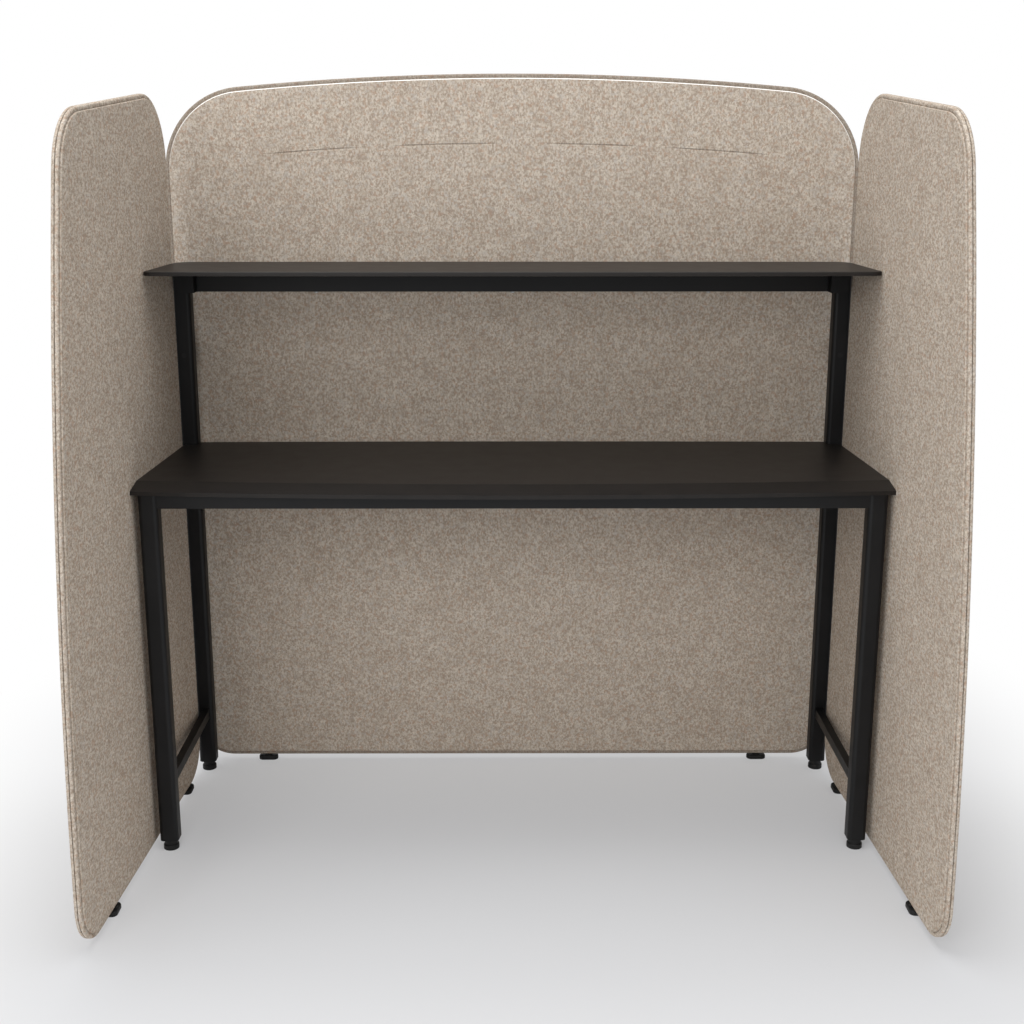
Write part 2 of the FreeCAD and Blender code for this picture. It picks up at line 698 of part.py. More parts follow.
# Corner blocks in front of the uprights, under the shelf
block_rear = p("leg_rear_y") - half_shelf_rail
block_front = block_rear - p("block_depth")
for hand, side in (("left", -1), ("right", 1)):
    inner = p("block_inner_x") * side
    outer = (p("block_inner_x") + p("block_width")) * side
    middle = (inner + outer) / 2
    middle_y = block_front + p("block_depth") / 2
    sunk = shelf_rail_low + p("screw_head_height") + 3
    screw, hole = rising_screw(middle, middle_y, sunk, under_shelf + shelf_bite)
    pocket = rod("pocket", "+z", p("screw_head_radius") + p("screw_gap"), middle, middle_y,
                 shelf_rail_low - 1, sunk - shelf_rail_low + 1)
    shelf_screws.append(screw)
    shelf_holes.append(hole)
    body = new_body("block_blank_" + hand)
    sketch = new_sketch(body, "XZ_Plane", -block_rear)
    left_x, right_x = (outer, inner) if side < 0 else (inner, outer)
    outline(sketch, [(left_x, shelf_rail_low), (right_x, shelf_rail_low), (right_x, under_shelf),
                     (left_x, under_shelf)])
    feature = pad(body, sketch, p("block_depth"))
    corner = edges(feature, lambda e: spans(e, "y", block_front.value, block_rear.value)
                   and e.CenterOfMass.z < shelf_rail_low.value + 1
                   and abs(e.CenterOfMass.x - outer.value) < 1)
    fillet(body, feature, corner, p("block_radius"))
    tools = [hole, pocket, leg_blank("rear_upright_" + hand)]
    node("shelf_corner_block_" + hand, cut("shelf_corner_block_" + hand, body, tools))


# Boards with bowed edges: the worktop's front falls away, the shelf is bevelled underneath
def board(name, tools):
    body = new_body(name + "_blank")
    top, thick = p(name + "_top"), p(name + "_thick")
    front_bow, rear_bow = p(name + "_front_bow"), p(name + "_rear_bow")
    front_y = p(name + "_front") + front_bow
    rear_y = p(name + "_rear") - rear_bow
    inner_x = p("side_mid_x") - p("screen_inner") - p("board_gap")
    front_x = inner_x - side_slope * front_y
    rear_x = inner_x - side_slope * rear_y
    sketch = new_sketch(body, "XY_Plane", top - thick)
    front_arc = (front_x * front_x + front_bow * front_bow) / (front_bow * 2)
    rear_arc = (rear_x * rear_x + rear_bow * rear_bow) / (rear_bow * 2)
    outline(sketch, [(-front_x, front_y), (front_x, front_y), (rear_x, rear_y), (-rear_x, rear_y)],
            {0: (front_arc, 1), 2: (rear_arc, 1)})
    feature = pad(body, sketch, thick)
    levels = ((top - thick).value, top.value)
    far = edges(feature, lambda e: spans(e, "z", *levels) and e.CenterOfMass.y > rear_y.value - 5)
    feature = fillet(body, feature, far, p(name + "_rear_radius"))
    if name == "worktop":
        crest = edges(feature, lambda e: lies_at(e, "z", levels[1]) and e.CenterOfMass.y < front_y.value)
        slope_edges(body, feature, crest, p("worktop_bevel"), thick - p("worktop_edge"), levels[1])
    else:
        near = edges(feature, lambda e: spans(e, "z", *levels) and e.CenterOfMass.y < front_y.value + 5)
        feature = fillet(body, feature, near, p("shelf_front_radius"))
        upper = edges(feature, lambda e: lies_at(e, "z", levels[1]))
        feature = fillet(body, feature, upper, p("shelf_edge_radius"))
        lower = edges(feature, lambda e: lies_at(e, "z", levels[0]))
        slope_edges(body, feature, lower, p("shelf_bevel"), thick - p("shelf_edge"), levels[0])
    return node(name, cut(name, body, tools) if tools else body)


notches = []
for hand, side in (("left", -1), ("right", 1)):
    notches.append(bar("notch", p("leg_x") * side, p("leg_rear_y"), leg_half + p("notch_gap"),
                       p("leg_corner") + p("notch_gap"), under_top - 5, p("worktop_top") + 5))
board("worktop", notches + worktop_holes)
board("shelf", shelf_holes)
node("worktop_screws", group("worktop_screws", worktop_screws))
node("shelf_screws", group("shelf_screws", shelf_screws))

# Brackets between the legs and the screens
side_brackets = []
back_brackets = []
half_bracket = p("bracket_width") / 2
half_back_bracket = p("back_bracket_width") / 2
for (screen, carrier, direction, x, y, level, tall, half, side), hole in zip(BRACKETS, bracket_holes):
    high = level + tall
    if direction == "+y":
        face = p("back_mid_y") - p("rim_half")
        blank = box("bracket", x - half_back_bracket, x + half_back_bracket, y + half, face, level, high)
        back_brackets.append(cut("back_bracket", blank, [hole, whole_cover[screen, "inner"]]))
    else:
        near = x + half * side
        far = (p("side_mid_x") - side_slope * y - 2) * side
        low_x, high_x = (near, far) if side > 0 else (far, near)
        blank = box("bracket", low_x, high_x, y - half_bracket, y + half_bracket, level, high)
        side_brackets.append(cut("side_bracket", blank, [hole, whole_cover[screen, "inner"]]))
node("side_screen_brackets", group("side_screen_brackets", side_brackets))
node("back_screen_brackets", group("back_screen_brackets", back_brackets))

# Finished screen pieces: cavity for the core, holes for feet and screws
for screen in SCREENS:
    for which in ("inner", "outer"):
        tools = [whole_core[screen]] + foot_tools[screen]
        if which == "inner":
            tools = tools + cover_tools[screen]
        name = "%s_screen_%s_felt" % (screen, which)
        node(name, cut(name, whole_cover[screen, which], tools))
    name = screen + "_screen_core"
    node(name, cut(name, whole_core[screen], insert_tools[screen] + foot_tools[screen] + core_tools[screen]))


# Levelling feet: a moulded pad on a threaded stud
def levelling_foot(pad_name, stud_name, x, y, base, height, neck, top, stud_radius, stud_top):
    collar = rod(pad_name, "+z", neck, x, y, height - 1, top - height + 1)
    pocket = rod(pad_name, "+z", stud_radius, x, y, 4, top)
    node(pad_name, cut(pad_name, fuse(pad_name, [base, collar]), [pocket]))
    node(stud_name, rod(stud_name, "+z", stud_radius, x, y, 4, stud_top - 4))


def round_base(name, x, y, radius, height):
    disc = rod(name, "+z", radius, x, y, 0, height)
    return soften(name, disc, [(lambda e: lies_at(e, "z", height.value), 3.0),
                               (lambda e: lies_at(e, "z", 0.0), 1.0)])


def oblong_base(name, x, y, half_x, half_y, height):
    blank = box(name, x - half_x, x + half_x, y - half_y, y + half_y, 0, height)
    upright = soften(name, blank, [(lambda e: spans(e, "z", 0.0, height.value), VALUES["foot_corner"])])
    return soften(name, upright, [(lambda e: lies_at(e, "z", height.value), 3.0),
                                  (lambda e: lies_at(e, "z", 0.0), 1.0)])


plugs = []
for leg, (x, y, top, side) in LEGS.items():
    place = leg.replace("_leg", "").replace("_upright", "")
    base = round_base("glide_pad_" + place, x, y, p("glide_radius"), p("glide_height"))
    levelling_foot("glide_pad_" + place, "glide_stud_" + place, x, y, base, p("glide_height"),
                   p("glide_neck_radius"), p("leg_bottom"), p("glide_stud_radius"), p("glide_stud_top"))
    plug = bar("plug", x, y, leg_half - wall, p("leg_corner") - wall, p("leg_bottom"),
               p("leg_bottom") + p("plug_height"))
    bore = rod("plug_bore", "+z", p("glide_stud_radius") + p("stud_gap"), x, y, 0, p("glide_stud_top"))
    plugs.append(cut("plug", plug, [bore]))
node("leg_plugs", group("leg_plugs", plugs))
for foot, (screen, x, y) in FEET.items():
    long_half = p("foot_length") / 2
    short_half = p("foot_width") / 2
    half_x, half_y = (long_half, short_half) if screen == "back" else (short_half, long_half)
    base = oblong_base("screen_foot_pad_" + foot, x, y, half_x, half_y, p("foot_height"))
    levelling_foot("screen_foot_pad_" + foot, "screen_foot_stud_" + foot, x, y, base, p("foot_height"),
                   p("foot_neck_radius"), p("screen_bottom"), p("foot_stud_radius"), p("foot_stud_top"))

doc.recompute()

# Check every object, then write one file for each piece
for item in doc.Objects:
    if "Invalid" in item.State or "Error" in item.State:
        raise RuntimeError("%s is in state %s" % (item.Label, item.State))
os.makedirs("parts", exist_ok=True)
for name, item in sorted(nodes.items()):
    shape = item.Shape
    if shape.isNull() or not shape.isValid() or not shape.Solids:
        raise RuntimeError("%s has no valid solid" % name)
    shape.exportStep("parts/%s.step" % name)
    size = shape.BoundBox
    print("%-34s %2d solids %10.0f mm3  x %.1f %.1f  y %.1f %.1f  z %.1f %.1f" % (
        name, len(shape.Solids), shape.Volume, size.XMin, size.XMax, size.YMin, size.YMax,
        size.ZMin, size.ZMax))
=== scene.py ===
"""Looks of the office booth: felt screens, dark boards, black frame, studio floor and lights."""

import math

import bpy
import numpy as np
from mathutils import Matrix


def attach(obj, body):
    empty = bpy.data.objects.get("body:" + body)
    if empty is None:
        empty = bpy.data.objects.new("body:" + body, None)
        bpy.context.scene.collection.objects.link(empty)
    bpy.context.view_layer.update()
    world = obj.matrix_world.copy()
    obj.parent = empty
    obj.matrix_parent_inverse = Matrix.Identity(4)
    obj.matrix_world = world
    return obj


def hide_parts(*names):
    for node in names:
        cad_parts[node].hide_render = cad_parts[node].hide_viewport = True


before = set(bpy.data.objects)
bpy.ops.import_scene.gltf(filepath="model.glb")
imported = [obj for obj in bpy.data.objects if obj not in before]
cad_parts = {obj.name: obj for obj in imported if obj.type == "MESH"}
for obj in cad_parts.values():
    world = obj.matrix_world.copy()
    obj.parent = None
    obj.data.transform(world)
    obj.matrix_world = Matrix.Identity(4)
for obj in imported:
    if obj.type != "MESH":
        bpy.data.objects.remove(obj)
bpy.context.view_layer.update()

# Sizes of the screens, in metres
SEAM_RADIUS = 0.001
RIM_HALF = 0.0062
RIM_RADIUS = 0.0036
PAD_INSET = 0.0085
PAD_DEPTH = 0.0086
PAD_RADIUS = 0.0018
LOW = 0.012
BACK_HALF = 0.706
BACK_PEAK = 1.4827
BACK_Y = 0.4138
CROWN = 6.0
SIDE_X = 0.71115
SPLAY = math.atan(0.0532)
SIDE_FRONT = -0.424
SIDE_REAR = 0.3388
FRONT_LEAN = 0.1342
FRONT_BOW = 5.6
SIDE_TOP = 1.4486
TOP_SLOPE = 0.087
LOWER_CORNER = 0.08
BACK_UPPER_CORNER = 0.166
SIDE_UPPER_CORNER = 0.123
BACK_POINTS = 720
SIDE_POINTS = 640
SEAM_REACH = 0.03
SWELL = 0.0004
RING_SIZES = (0.985, 0.96, 0.92, 0.86, 0.78, 0.68, 0.56, 0.42, 0.28, 0.14)
# Painted highlight on upward pad edges: the height where it starts and the rise to full strength
HIGHLIGHT_LOW = 1.28
HIGHLIGHT_RISE = 0.14

# The crease high on the back screen: its height in the middle, its fall to the sides and its four strokes
CREASE_TOP = 1.3466
CREASE_FALL = 0.083
CREASE_STROKES = ((-0.51, -0.30), (-0.255, -0.013), (0.059, 0.266), (0.305, 0.53))
STROKE_FADE = 0.05


# Shapes


def unit(vector):
    """The vector divided by its length."""
    return vector / np.linalg.norm(vector)


def left_of(direction):
    """The direction turned a quarter turn to the left."""
    return np.array([-direction[1], direction[0]])


def rounded_loop(corners, radii, bows, count):
    """Closed outline of straight or bowed sides joined by corner arcs, walked at equal steps of length.

    The corners go round to the left. A bowed side is a circle's arc through its two corners. The arc of a
    corner has its centre one radius inside both sides. Returns the points and the inward normals.
    """
    corners = [np.array(corner) for corner in corners]
    total = len(corners)
    sides = []
    for index, start in enumerate(corners):
        end = corners[(index + 1) % total]
        along = unit(end - start)
        inward = left_of(along)
        radius = bows.get(index)
        middle = None
        if radius:
            half = np.linalg.norm(end - start) / 2
            middle = (start + end) / 2 + inward * math.sqrt(radius ** 2 - half ** 2)
        sides.append((start, along, inward, radius, middle))
    centres = []
    for index in range(total):
        before, after = sides[index - 1], sides[index]
        centres.append(arc_centre(before, after, radii[index], corners[index]))
    path = []
    for index, side in enumerate(sides):
        following = (index + 1) % total
        first = touch(sides[index - 1], centres[index])
        second = touch(side, centres[index])
        third = touch(side, centres[following])
        path.append(swing(centres[index], first, second, 80))
        if side[3]:
            path.append(swing(side[4], second, third, 400))
        else:
            steps = np.linspace(0, 1, 400)[:, None]
            path.append(second + (third - second) * steps)
    path = np.concatenate(path)
    lengths = np.linalg.norm(np.roll(path, -1, 0) - path, axis=1)
    walked = np.concatenate([[0], np.cumsum(lengths)])
    closed = np.concatenate([path, path[:1]])
    at = np.arange(count) * walked[-1] / count
    points = np.stack([np.interp(at, walked, closed[:, axis]) for axis in (0, 1)], 1)
    tangent = np.roll(points, -1, 0) - np.roll(points, 1, 0)
    tangent /= np.linalg.norm(tangent, axis=1)[:, None]
    return points, np.stack([-tangent[:, 1], tangent[:, 0]], 1)


def arc_centre(before, after, radius, near):
    """The point one radius inside two neighbouring sides, the one nearest their corner."""
    if before[3] and not after[3]:
        before, after = after, before
    start = before[0] + before[2] * radius
    if not after[3]:
        goal = after[0] + after[2] * radius - start
        amounts = np.linalg.solve(np.stack([before[1], -after[1]], 1), goal)
        return start + before[1] * amounts[0]
    offset = start - after[4]
    half = offset @ before[1]
    rest = math.sqrt(half ** 2 - offset @ offset + (after[3] - radius) ** 2)
    found = [start + before[1] * (-half + sign * rest) for sign in (-1, 1)]
    return min(found, key=lambda point: np.linalg.norm(point - near))


def touch(side, centre):
    """The point of a side that a corner arc about this centre meets."""
    if side[3]:
        return side[4] + unit(centre - side[4]) * side[3]
    return side[0] + side[1] * ((centre - side[0]) @ side[1])


def swing(centre, start, end, count):
    """Points of the short arc about a centre from start to end."""
    first = math.atan2(*(start - centre)[::-1])
    turn = math.atan2(*(end - centre)[::-1]) - first
    turn = (turn + math.pi) % (2 * math.pi) - math.pi
    angles = first + turn * np.linspace(0, 1, count)
    return centre + np.linalg.norm(start - centre) * np.stack([np.cos(angles), np.sin(angles)], 1)


def quarter(centre, radius, first, last, count):
    """Points of an arc in the profile, from the first to the last angle in degrees."""
    angles = np.radians(np.linspace(first, last, count))
    return [(centre[0] + radius * math.cos(a), centre[1] + radius * math.sin(a)) for a in angles]


def cover_profile(rim_shade):
    """Section of one cover at the screen's edge, as distance in from the edge and height off the seam plane.

    It leaves the seam, turns over the rim's round edge, runs along the ledge into the channel by the pad,
    and climbs the pad's side and round edge. The third column is painted shade: how much darker the felt is
    painted in the seam between the covers, in the channel by the pad and on the rim, where shade falls.
    """
    # Third column: painted shade in the seam between the two covers, on the rim and in the channel by the
    # pad
    rows = [(0.0022, 0.0002, 0.8), (0.0011, 0.0004, 0.5), (0.0004, 0.0008, 0.2)]
    rows += [(0.0, SEAM_RADIUS + 0.0006, rim_shade), (0.0, RIM_HALF - RIM_RADIUS, rim_shade)]
    corner = quarter((RIM_RADIUS, RIM_HALF - RIM_RADIUS), RIM_RADIUS, 180, 90, 7)
    rows += [(inset, height, rim_shade) for inset, height in corner[1:]]
    rows += [(PAD_INSET - 0.0014, RIM_HALF, rim_shade), (PAD_INSET - 0.0005, RIM_HALF - 0.0008, 0.35)]
    rows += [(PAD_INSET, RIM_HALF - 0.0012, 0.4), (PAD_INSET + 0.0001, RIM_HALF + 0.0003, 0.2)]
    corner = quarter((PAD_INSET + PAD_RADIUS, PAD_DEPTH - PAD_RADIUS), PAD_RADIUS, 180, 90, 7)
    rows += [(inset, height, 0.0) for inset, height in corner[1:]]
    return np.array(rows)


def closed_rings(rings, first_pole, last_pole):
    """Faces and points of rings joined in order, with a point closing each end. Faces point outwards."""
    count = rings.shape[1]
    points = np.concatenate([first_pole[None], rings.reshape(-1, 3), last_pole[None]])
    step = np.arange(count)
    after = (step + 1) % count
    faces = [np.stack([np.zeros(count, int), 1 + after, 1 + step], 1)]
    quads = []
    for ring in range(len(rings) - 1):
        low = 1 + ring * count
        quads.append(np.stack([low + step, low + after, low + count + after, low + count + step], 1))
    top = 1 + (len(rings) - 1) * count
    faces.append(np.stack([np.full(count, len(points) - 1), top + step, top + after], 1))
    quads = np.concatenate(quads)
    faces = np.concatenate(faces)
    every = np.concatenate([faces, quads[:, :3], quads[:, [0, 2, 3]]])
    a, b, c = points[every[:, 0]], points[every[:, 1]], points[every[:, 2]]
    if np.einsum("ij,ij->i", a, np.cross(b, c)).sum() < 0:
        faces, quads = faces[:, ::-1], quads[:, ::-1]
    return points, faces.tolist() + quads.tolist()


def make_piece(name, points, faces, material):
    """A smooth mesh at the origin from whole arrays of points and faces."""
    mesh = bpy.data.meshes.new(name)
    mesh.from_pydata(points, [], faces)
    mesh.polygons.foreach_set("use_smooth", np.ones(len(mesh.polygons), bool))
    mesh.materials.append(material)
    piece = bpy.data.objects.new(name, mesh)
    bpy.context.scene.collection.objects.link(piece)
    return piece


def make_cover(name, loop, rim_shade, painted_highlight, place, material):
    """One felt cover: an edge profile walked round the outline, then rings that close over the face.

    The face swells a little towards its middle, by a height that follows one minus the square of the ring's
    size. The flat side at the seam plane is closed the same way. The rim argument is painted shade on the
    rim; the highlight argument is a painted highlight, how light the pad's edge is painted where it faces
    up, fading from the screen's shoulders downwards.
    """
    points, inward = loop
    profile = cover_profile(rim_shade)
    middle = (points.min(0) + points.max(0)) / 2
    rings = []
    shade_marks = []
    highlight_marks = []
    # Painted highlight: strength by height, none below the shoulders
    upward_highlight = painted_highlight * np.clip((points[:, 1] - HIGHLIGHT_LOW) / HIGHLIGHT_RISE, 0.0, 1.0)
    first = points + inward * SEAM_REACH
    rings.append(np.column_stack([first, np.full(len(first), profile[0, 1])]))
    shade_marks.append(np.ones(len(first)))
    highlight_marks.append(np.zeros(len(first)))
    for inset, height, mark in profile:
        rings.append(np.column_stack([points + inward * inset, np.full(len(points), height)]))
        shade_marks.append(np.full(len(points), mark))
        highlight_marks.append(upward_highlight * (RIM_HALF < height < PAD_DEPTH - 0.00001))
    edge = points + inward * profile[-1, 0]
    for size in RING_SIZES:
        height = profile[-1, 1] + SWELL * (1 - size ** 2)
        rings.append(np.column_stack([middle + (edge - middle) * size, np.full(len(edge), height)]))
        shade_marks.append(np.zeros(len(edge)))
        highlight_marks.append(np.zeros(len(edge)))
    rings = np.array(rings)
    shape = rings.shape
    flat = place(rings.reshape(-1, 3)).reshape(shape)
    low = place(np.array([[*middle, profile[0, 1]]]))[0]
    high = place(np.array([[*middle, profile[-1, 1] + SWELL]]))[0]
    vertices, faces = closed_rings(flat, low, high)
    piece = make_piece(name, vertices, faces, material)
    # Two point layers: painted shade (full at the seam side) and a painted highlight on upward pad edges
    for layer_name, start, rows in (("painted_shade", 1.0, shade_marks), ("painted_highlight", 0.0, highlight_marks)):
        marks = np.concatenate([[start], np.concatenate(rows), [0.0]])
        layer = piece.data.attributes.new(layer_name, "FLOAT", "POINT")
        layer.data.foreach_set("value", marks.astype(np.float32))
    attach(piece, "booth")
    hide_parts(name.replace("_cover", "_felt").replace("_", "_screen_", 1))
    return piece


def back_place(sign):
    """Puts outline and height of a back cover in the room; sign is -1 for the inner side."""
    def place(flat):
        return np.column_stack([flat[:, 0], BACK_Y + sign * flat[:, 2], flat[:, 1]])
    return place


def side_place(side, sign):
    """Puts outline and height of a side cover in the room; side is -1 for the left, sign is -1 for inner."""
    def place(flat):
        across = side * sign * flat[:, 2]
        turn = side * SPLAY
        x = side * SIDE_X + across * math.cos(turn) - flat[:, 0] * math.sin(turn)
        y = across * math.sin(turn) + flat[:, 0] * math.cos(turn)
        return np.column_stack([x, y, flat[:, 1]])
    return place


# Shaders


class Flow:
    """A shader value that adds Math nodes as it is reckoned with."""

    def __init__(self, paint, socket):
        self.paint = paint
        self.socket = socket

    def reckon(self, operation, first, second):
        return self.paint.add("ShaderNodeMath", {"operation": operation}, {0: first, 1: second})

    def __add__(self, other):
        return self.reckon("ADD", self, other)

    def __radd__(self, other):
        return self.reckon("ADD", other, self)

    def __sub__(self, other):
        return self.reckon("SUBTRACT", self, other)

    def __rsub__(self, other):
        return self.reckon("SUBTRACT", other, self)

    def __mul__(self, other):
        return self.reckon("MULTIPLY", self, other)


class Paint:
    """A node material. One method adds any node, sets its settings first and then its sockets."""

    def __init__(self, name):
        self.material = bpy.data.materials.new(name)
        self.material.use_nodes = True
        self.tree = self.material.node_tree
        self.tree.nodes.clear()
        self.out = self.tree.nodes.new("ShaderNodeOutputMaterial")

    def add(self, kind, settings, sockets, result=0):
        node = self.tree.nodes.new(kind)
        for key, value in settings.items():
            setattr(node, key, value)
        for key, value in sockets.items():
            if isinstance(value, Flow):
                self.tree.links.new(value.socket, node.inputs[key])
            else:
                node.inputs[key].default_value = value
        return Flow(self, node.outputs[result])

    def place(self):
        return self.add("ShaderNodeTexCoord", {}, {}, "Object")

    def stretch(self, vector, by):
        return self.add("ShaderNodeVectorMath", {"operation": "MULTIPLY"}, {0: vector, 1: by})

    def shift(self, vector, by):
        return self.add("ShaderNodeVectorMath", {"operation": "ADD"}, {0: vector, 1: by})

    def noise(self, vector, scale, detail=2.0, rough=0.5, result="Fac"):
        sockets = {"Vector": vector, "Scale": scale, "Detail": detail, "Roughness": rough}
        return self.add("ShaderNodeTexNoise", {}, sockets, result)

    def ease(self, value, low, high, start=0.0, end=1.0):
        settings = {"interpolation_type": "SMOOTHSTEP"}
        return self.add("ShaderNodeMapRange", settings, {0: value, 1: low, 2: high, 3: start, 4: end})

    def mix(self, factor, first, second, blend="MIX"):
        settings = {"data_type": "RGBA", "blend_type": blend}
        return self.add("ShaderNodeMix", settings, {0: factor, 6: first, 7: second}, 2)

    def bump(self, height, strength, distance):
        return self.add("ShaderNodeBump", {}, {"Height": height, "Strength": strength, "Distance": distance})

    def finish(self, **sockets):
        names = {key.replace("_", " "): value for key, value in sockets.items()}
        shader = self.add("ShaderNodeBsdfPrincipled", {}, names)
        self.tree.links.new(shader.socket, self.out.inputs["Surface"])
        return self.material


def tone(red, green, blue):
    """A colour written as screen values from 0 to 255, turned into the light it stands for."""
    parts = [part / 255 for part in (red, green, blue)]
    light = [part / 12.92 if part < 0.04045 else ((part + 0.055) / 1.055) ** 2.4 for part in parts]
    return (*light, 1.0)


def felt_paint(name, creased):
    """Beige felt of mixed fibres: soft blotches, small flecks, fine nap, painted shade in seams, by the pads
    and on rims, a painted highlight on upward pad edges, a crease with painted shade if asked.
    """
    paint = Paint(name)
    place = paint.place()
    slanted = paint.stretch(place, (1.0, 0.45, 0.72))
    fleck = paint.noise(slanted, 310.0, 4.0, 0.75)
    blotch = paint.noise(paint.shift(place, (3.1, 1.7, 0.4)), 34.0, 3.0, 0.6)
    warm = paint.noise(paint.shift(place, (7.3, 2.9, 5.1)), 135.0, 2.0, 0.5)
    cool = paint.noise(paint.shift(place, (1.9, 8.3, 2.2)), 120.0, 2.0, 0.5)
    nap = paint.noise(place, 900.0, 2.0, 0.6)
    colour = paint.mix(paint.ease(fleck, 0.34, 0.66), tone(149, 134, 120), tone(207, 197, 183))
    colour = paint.mix(paint.ease(warm, 0.53, 0.68, 0.0, 0.6), colour, tone(172, 143, 122))
    colour = paint.mix(paint.ease(cool, 0.53, 0.70, 0.0, 0.45), colour, tone(186, 181, 175))
    colour = paint.mix(paint.ease(blotch, 0.36, 0.62, 0.20, 0.0), colour, tone(150, 133, 116))
    # Painted shade: darkens the felt in seams, by the pad and on the back rim, where shade falls
    painted_shade = paint.add("ShaderNodeAttribute", {"attribute_name": "painted_shade"}, {}, "Fac")
    colour = paint.mix(painted_shade * 0.72, colour, tone(70, 60, 50))
    # Painted highlight: near white paint on the pad's upward edges, where top light falls
    painted_highlight = paint.add("ShaderNodeAttribute", {"attribute_name": "painted_highlight"}, {}, "Fac")
    colour = paint.mix(painted_highlight, colour, tone(250, 248, 245))
    height = fleck * 0.6 + nap * 0.4
    if creased:
        across = paint.add("ShaderNodeSeparateXYZ", {}, {0: place}, "X")
        rise = paint.add("ShaderNodeSeparateXYZ", {}, {0: place}, "Z")
        line = rise - (CREASE_TOP - across * across * CREASE_FALL)
        away = paint.add("ShaderNodeMath", {"operation": "ABSOLUTE"}, {0: line})
        total = None
        for start, end in CREASE_STROKES:
            begins = paint.ease(across, start, start + STROKE_FADE)
            window = begins * paint.ease(across, end - STROKE_FADE, end, 1.0, 0.0)
            total = window if total is None else total + window
        crease = paint.ease(away, 0.0004, 0.0026, 1.0, 0.0) * total
        # Painted shade along the crease line, on top of the bump that dents it
        colour = paint.mix(crease * 0.34, colour, tone(96, 84, 72))
        height = height - crease * 1.5
    normal = paint.bump(height, 0.55, 0.0012)
    return paint.finish(Base_Color=colour, Roughness=0.95, Normal=normal, Specular_IOR_Level=0.15)


def laminate_paint():
    """Dark brown-black board with a satin face: faint mottling and a very fine grain."""
    paint = Paint("dark laminate")
    place = paint.place()
    mottle = paint.noise(place, 26.0, 3.0, 0.55)
    grain = paint.noise(paint.stretch(place, (0.12, 1.0, 1.0)), 420.0, 2.0, 0.6)
    colour = paint.mix(paint.ease(mottle, 0.35, 0.65), tone(20, 17, 15), tone(25, 21, 19))
    colour = paint.mix(paint.ease(grain, 0.4, 0.7, 0.0, 0.35), colour, tone(31, 27, 24))
    rough = 0.42 + mottle * 0.08
    normal = paint.bump(grain, 0.12, 0.0003)
    return paint.finish(Base_Color=colour, Roughness=rough, Normal=normal, Specular_IOR_Level=0.3)


def coat_paint():
    """Black sprayed coat on steel: fine dimpled skin and faint changes of sheen."""
    paint = Paint("black paint")
    place = paint.place()
    dimple = paint.noise(place, 700.0, 2.0, 0.5)
    drift = paint.noise(place, 18.0, 2.0, 0.5)
    colour = paint.mix(paint.ease(drift, 0.3, 0.7), tone(12, 12, 13), tone(17, 17, 18))
    rough = 0.40 + drift * 0.14
    normal = paint.bump(dimple, 0.10, 0.0004)
    return paint.finish(Base_Color=colour, Roughness=rough, Normal=normal, Specular_IOR_Level=0.25)


def plastic_paint(name, dark, light):
    """Black moulded plastic with a fine matt grain, drifting between two near shades."""
    paint = Paint(name)
    place = paint.place()
    grain = paint.noise(place, 1100.0, 2.0, 0.6)
    drift = paint.noise(place, 30.0, 2.0, 0.5)
    colour = paint.mix(paint.ease(drift, 0.3, 0.7), dark, light)
    normal = paint.bump(grain, 0.2, 0.0003)
    rough = 0.5 + grain * 0.12
    return paint.finish(Base_Color=colour, Roughness=rough, Normal=normal, Specular_IOR_Level=0.3)


def steel_paint():
    """Zinc plated steel: pale grey with patches of sheen and a fine pitted skin."""
    paint = Paint("zinc steel")
    place = paint.place()
    patch = paint.noise(place, 240.0, 2.0, 0.5)
    pit = paint.noise(place, 1500.0, 2.0, 0.5)
    colour = paint.mix(paint.ease(patch, 0.3, 0.7), tone(168, 170, 173), tone(196, 198, 200))
    normal = paint.bump(pit, 0.15, 0.0002)
    return paint.finish(Base_Color=colour, Roughness=0.3 + patch * 0.2, Metallic=1.0, Normal=normal)


def board_paint():
    """Pressed wood board: small chips of light and dark wood."""
    paint = Paint("core board")
    place = paint.place()
    chip = paint.noise(paint.stretch(place, (1.0, 1.0, 0.4)), 300.0, 3.0, 0.6)
    colour = paint.mix(paint.ease(chip, 0.35, 0.65), tone(150, 116, 78), tone(205, 174, 130))
    return paint.finish(Base_Color=colour, Roughness=0.85, Normal=paint.bump(chip, 0.3, 0.0005))


felt = felt_paint("felt", False)
creased_felt = felt_paint("felt with crease", True)
laminate = laminate_paint()
coat = coat_paint()
plastic = plastic_paint("black plastic", tone(19, 19, 20), tone(26, 26, 26))
# Corner blocks: a darker copy of the black plastic, painted shade from the shelf above them
block = plastic_paint("black block", tone(8, 8, 9), tone(12, 12, 13))
steel = steel_paint()
board = board_paint()

# Finishes of the hard parts
for node_name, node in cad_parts.items():
    if node_name.endswith("_felt"):
        continue
    if node_name in ("worktop", "shelf"):
        finish = laminate
    elif node_name.endswith("_core"):
        finish = board
    elif "block" in node_name:
        finish = block
    elif "pad" in node_name or "caps" in node_name:
        finish = plastic
    elif "stud" in node_name or "screws" in node_name or "inserts" in node_name or "plugs" in node_name:
        finish = steel
    else:
        finish = coat
    node.data.materials.clear()
    node.data.materials.append(finish)

